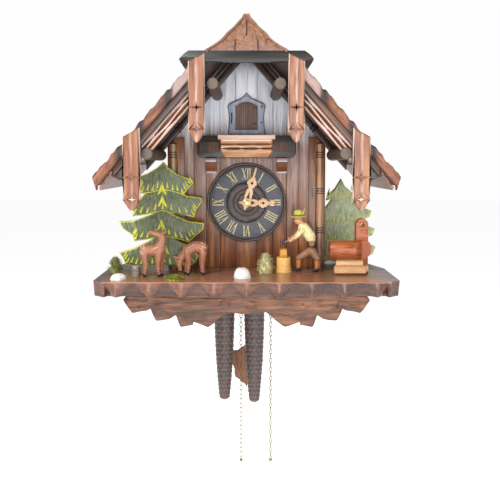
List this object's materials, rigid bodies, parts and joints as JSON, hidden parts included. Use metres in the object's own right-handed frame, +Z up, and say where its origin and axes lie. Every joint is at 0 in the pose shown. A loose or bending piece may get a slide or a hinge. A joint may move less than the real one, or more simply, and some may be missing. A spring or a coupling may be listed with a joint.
{
  "type": "cuckoo clock",
  "caption": "Wall-hung chalet cuckoo clock with a hipped shingle roof, carved platform figures, bird door, dial, leaf pendulum and pine-cone weights on chains.",
  "frame": {"origin": "centre of the hanger hole, in the plane of the back face that lies on the wall", "axes": "+X right seen from the front, +Z up, the front faces -Y and the wall is the plane y = 0"},
  "size_m": [0.2815, 0.187, 0.4704],
  "materials": {
    "house_wood": "whitewashed and stained planks under satin varnish",
    "back_wood": "raw plywood",
    "post_wood": "satin varnish",
    "platform_wood": "satin varnish, chip carved",
    "apron_wood": "burnt and varnished",
    "roof_wood": "stained",
    "shingle_wood": "burnt and brushed",
    "cap_wood": "burnt and brushed",
    "dark_wood": "dark stain",
    "fascia_wood": "carved flutes, satin varnish",
    "pendant_wood": "satin varnish",
    "trough_wood": "fluted, varnished",
    "frame_wood": "whitewashed",
    "door_wood": "grooved, matte",
    "light_wood": "bare spruce",
    "log_wood": "varnished",
    "dial": "turned, charcoal",
    "numeral": "cream",
    "hand_wood": "carved, pale",
    "brass": "satin",
    "chain_brass": "antique",
    "steel": "plain",
    "dark_steel": "blued wire",
    "cone_iron": "painted cast iron",
    "bellows_cloth": "thin bellows cloth",
    "bird_paint": "painted",
    "fir_paint": "hand painted",
    "deer_paint": "hand painted",
    "cutter_paint": "hand painted",
    "stone": "white pebble",
    "moss": "dried moss",
    "leaf_wood": "carved leaf, varnished"
  },
  "bodies": {
    "case": {"back_board": "back_wood", "hanger_plate": "steel", "side_walls": "back_wood", "house_front": "house_wood", "corner_posts": "post_wood", "base_platform": "platform_wood", "apron_boards": "apron_wood", "roof_boards": "roof_wood", "shingles": "shingle_wood", "roof_cap": "cap_wood", "gable_boards": "fascia_wood", "gable_rafters": "dark_wood", "purlin_logs": "dark_wood", "pendant_boards": "pendant_wood", "balcony_board": "dark_wood", "balcony_trough": "trough_wood", "balcony_brackets": "roof_wood", "door_frame": "frame_wood", "dial_face": "dial", "numerals": "numeral", "movement_frame": "brass", "gong": "dark_steel", "whistles": "light_wood", "bellows_folds": "bellows_cloth", "fir_trees": "fir_paint", "deer": "deer_paint", "chopper_legs": "cutter_paint", "wood_pile": "log_wood", "ground_trim": "moss", "fixing_screws": "steel"},
    "minute": {"centre_wheel": "brass", "minute_hand": "hand_wood", "hand_nut": "brass"},
    "motion": {"minute_wheel": "brass"},
    "hour": {"hour_wheel": "brass", "hour_hand": "hand_wood"},
    "great": {"great_wheel": "brass"},
    "third": {"third_wheel": "brass"},
    "escape": {"escape_wheel": "brass"},
    "strike_great": {"strike_wheel": "brass"},
    "pins": {"pin_wheel": "brass"},
    "fan": {"fly": "brass"},
    "hammer": {"strike_hammer": "steel"},
    "pendulum": {"pendulum_rod": "steel", "pendulum_leaf": "leaf_wood"},
    "verge": {"anchor": "steel"},
    "left_weight": {"weight_left": "cone_iron", "weight_chain_left": "chain_brass"},
    "left_sprocket": {"chain_wheel_left": "brass"},
    "left_free": {"free_chain_left": "chain_brass"},
    "right_weight": {"weight_right": "cone_iron", "weight_chain_right": "chain_brass"},
    "right_sprocket": {"chain_wheel_right": "brass"},
    "right_free": {"free_chain_right": "chain_brass"},
    "cuckoo": {"bird": "bird_paint"},
    "door": {"bird_door": "door_wood"},
    "woodcutter": {"chopper_upper": "cutter_paint"},
    "latch": {"door_latch": "dark_steel"},
    "left_bellows": {"bellows_lid_left": "light_wood"},
    "right_bellows": {"bellows_lid_right": "light_wood"}
  },
  "joints": [
    {"name": "minute_turn", "type": "hinge", "parent": "case", "child": "minute", "pos_m": [0, -0.095, -0.113], "axis": [0, 1, 0], "continuous": true},
    {"name": "motion_turn", "type": "hinge", "parent": "case", "child": "motion", "pos_m": [0.00983, -0.076, -0.10612], "axis": [0, 1, 0], "continuous": true},
    {"name": "hour_turn", "type": "hinge", "parent": "case", "child": "hour", "pos_m": [0, -0.094, -0.113], "axis": [0, 1, 0], "continuous": true},
    {"name": "great_turn", "type": "hinge", "parent": "case", "child": "great", "pos_m": [-0.015, -0.044, -0.145], "axis": [0, 1, 0], "continuous": true},
    {"name": "third_turn", "type": "hinge", "parent": "case", "child": "third", "pos_m": [-0.01491, -0.047, -0.09458], "axis": [0, 1, 0], "continuous": true},
    {"name": "escape_turn", "type": "hinge", "parent": "case", "child": "escape", "pos_m": [0, -0.039, -0.08241], "axis": [0, 1, 0], "continuous": true},
    {"name": "strike_turn", "type": "hinge", "parent": "case", "child": "strike_great", "pos_m": [0.0175, -0.07, -0.145], "axis": [0, 1, 0], "continuous": true},
    {"name": "pin_turn", "type": "hinge", "parent": "case", "child": "pins", "pos_m": [0.03332, -0.047, -0.12016], "axis": [0, 1, 0], "continuous": true},
    {"name": "fan_turn", "type": "hinge", "parent": "case", "child": "fan", "pos_m": [0.03946, -0.055, -0.10008], "axis": [0, 1, 0], "continuous": true},
    {"name": "hammer_swing", "type": "hinge", "parent": "case", "child": "hammer", "pos_m": [0.0435, -0.013, -0.084], "axis": [0, 1, 0], "range_deg": [0, 12]},
    {"name": "pendulum_swing", "type": "hinge", "parent": "case", "child": "pendulum", "pos_m": [0, -0.022, -0.132], "axis": [0, -1, 0], "range_deg": [-7, 7]},
    {"name": "verge_rock", "type": "hinge", "parent": "case", "child": "verge", "pos_m": [0, -0.035, -0.0665], "axis": [0, -1, 0], "range_deg": [-2.5, 2.5]},
    {"name": "left_weight_fall", "type": "slide", "parent": "case", "child": "left_weight", "axis": [0, 0, -1], "range_m": [0, 0.15]},
    {"name": "left_sprocket_turn", "type": "hinge", "parent": "case", "child": "left_sprocket", "pos_m": [-0.015, -0.055, -0.145], "axis": [0, -1, 0], "range_deg": [0, 956]},
    {"name": "left_free_rise", "type": "slide", "parent": "case", "child": "left_free", "axis": [0, 0, -1], "range_m": [-0.15, 0]},
    {"name": "right_weight_fall", "type": "slide", "parent": "case", "child": "right_weight", "axis": [0, 0, -1], "range_m": [0, 0.15]},
    {"name": "right_sprocket_turn", "type": "hinge", "parent": "case", "child": "right_sprocket", "pos_m": [0.0175, -0.055, -0.145], "axis": [0, -1, 0], "range_deg": [0, 956]},
    {"name": "right_free_rise", "type": "slide", "parent": "case", "child": "right_free", "axis": [0, 0, -1], "range_m": [-0.15, 0]},
    {"name": "cuckoo_slide", "type": "slide", "parent": "case", "child": "cuckoo", "axis": [0, -1, 0], "range_m": [0, 0.028]},
    {"name": "door_swing", "type": "hinge", "parent": "case", "child": "door", "pos_m": [0.0108, -0.0894, -0.025], "axis": [0, 0, 1], "range_deg": [0, 95]},
    {"name": "woodcutter_bow", "type": "hinge", "parent": "case", "child": "woodcutter", "pos_m": [0.064, -0.113, -0.152], "axis": [0, 1, 0], "range_deg": [0, 25]},
    {"name": "latch_turn", "type": "hinge", "parent": "case", "child": "latch", "pos_m": [-0.0149, -0.092, -0.0235], "axis": [0, 1, 0], "range_deg": [-15, 60]},
    {"name": "left_bellows_lift", "type": "hinge", "parent": "case", "child": "left_bellows", "pos_m": [-0.061, -0.024, -0.096], "axis": [-1, 0, 0], "range_deg": [0, 14], "deforming": ["bellows_folds"]},
    {"name": "right_bellows_lift", "type": "hinge", "parent": "case", "child": "right_bellows", "pos_m": [0.061, -0.024, -0.096], "axis": [-1, 0, 0], "range_deg": [0, 14]}
  ],
  "couplings": [
    {"joint": "motion_turn", "follows": "minute_turn", "ratio": -0.33333},
    {"joint": "hour_turn", "follows": "minute_turn", "ratio": 0.083333},
    {"joint": "great_turn", "follows": "minute_turn", "ratio": -0.5},
    {"joint": "third_turn", "follows": "minute_turn", "ratio": -10.286},
    {"joint": "escape_turn", "follows": "minute_turn", "ratio": 102.86},
    {"joint": "pin_turn", "follows": "strike_turn", "ratio": -4},
    {"joint": "fan_turn", "follows": "strike_turn", "ratio": 24},
    {"joint": "verge_rock", "follows": "pendulum_swing", "ratio": 0.292},
    {"joint": "left_sprocket_turn", "follows": "left_weight_fall", "rad_per_m": 111.11},
    {"joint": "left_free_rise", "follows": "left_weight_fall", "ratio": -1},
    {"joint": "right_sprocket_turn", "follows": "right_weight_fall", "rad_per_m": 111.11},
    {"joint": "right_free_rise", "follows": "right_weight_fall", "ratio": -1},
    {"joint": "door_swing", "follows": "cuckoo_slide", "rad_per_m": 59.2},
    {"joint": "woodcutter_bow", "follows": "cuckoo_slide", "rad_per_m": 15.58}
  ]
}
